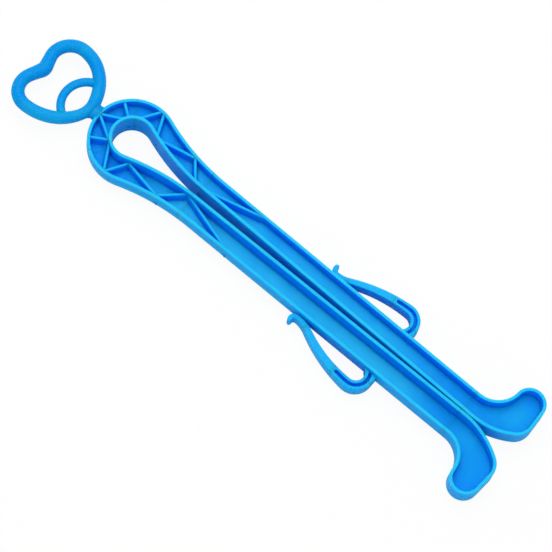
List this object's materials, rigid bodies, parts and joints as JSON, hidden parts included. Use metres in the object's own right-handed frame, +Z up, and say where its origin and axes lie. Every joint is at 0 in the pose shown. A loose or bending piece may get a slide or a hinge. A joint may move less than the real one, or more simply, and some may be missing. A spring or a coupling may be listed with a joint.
{
  "type": "boot shaper",
  "caption": "Flat moulded boot shaper: heart-shaped hanging ring, hairpin spring bow stiffened by zigzag ribs, long legs with turned-out feet and sprung side clips.",
  "frame": {"origin": "on the ground under the middle of the whole part's box", "axes": "+Y along the length towards the hanging ring, +X to the right seen from above, +Z up through the thickness"},
  "size_m": [0.0824, 0.3833, 0.0193],
  "materials": {
    "azure_plastic": "satin"
  },
  "bodies": {
    "crown": {"heart_ring": "azure_plastic", "heart_eyelet": "azure_plastic", "hanger_neck": "azure_plastic", "crown_web": "azure_plastic", "crown_outer_wall": "azure_plastic", "crown_inner_wall": "azure_plastic", "crown_ribs": "azure_plastic"},
    "left_leg": {"left_bow_web": "azure_plastic", "left_bow_outer_wall": "azure_plastic", "left_bow_inner_wall": "azure_plastic", "left_bow_ribs": "azure_plastic", "left_leg_web": "azure_plastic", "left_leg_outer_wall": "azure_plastic", "left_leg_inner_wall": "azure_plastic", "left_leg_rib": "azure_plastic", "left_foot_web": "azure_plastic", "left_foot_wall": "azure_plastic", "left_clip_root": "azure_plastic"},
    "left_clip": {"left_clip_bend": "azure_plastic", "left_clip_arm": "azure_plastic", "left_clip_tip": "azure_plastic"},
    "right_leg": {"right_bow_web": "azure_plastic", "right_bow_outer_wall": "azure_plastic", "right_bow_inner_wall": "azure_plastic", "right_bow_ribs": "azure_plastic", "right_leg_web": "azure_plastic", "right_leg_outer_wall": "azure_plastic", "right_leg_inner_wall": "azure_plastic", "right_leg_rib": "azure_plastic", "right_foot_web": "azure_plastic", "right_foot_wall": "azure_plastic", "right_clip_root": "azure_plastic"},
    "right_clip": {"right_clip_bend": "azure_plastic", "right_clip_arm": "azure_plastic", "right_clip_tip": "azure_plastic"}
  },
  "joints": [
    {"name": "right_leg_spread", "type": "hinge", "parent": "crown", "child": "right_leg", "pos_m": [0.017, 0.09619, 0.00965], "axis": [0, 0, 1], "range_deg": [0, 8], "stiffness_Nm_per_rad": 50, "deforming": ["right_bow_web", "right_bow_outer_wall", "right_bow_inner_wall", "right_bow_ribs"]},
    {"name": "right_clip_open", "type": "hinge", "parent": "right_leg", "child": "right_clip", "pos_m": [0.0285, -0.09281, 0.0065], "axis": [0, 0, -1], "range_deg": [0, 10], "stiffness_Nm_per_rad": 2.5, "deforming": ["right_clip_bend"]},
    {"name": "left_leg_spread", "type": "hinge", "parent": "crown", "child": "left_leg", "pos_m": [-0.017, 0.09619, 0.00965], "axis": [0, 0, -1], "range_deg": [0, 8], "stiffness_Nm_per_rad": 50, "deforming": ["left_bow_web", "left_bow_outer_wall", "left_bow_inner_wall", "left_bow_ribs"]},
    {"name": "left_clip_open", "type": "hinge", "parent": "left_leg", "child": "left_clip", "pos_m": [-0.0285, -0.09281, 0.0065], "axis": [0, 0, 1], "range_deg": [0, 10], "stiffness_Nm_per_rad": 2.5, "deforming": ["left_clip_bend"]}
  ]
}
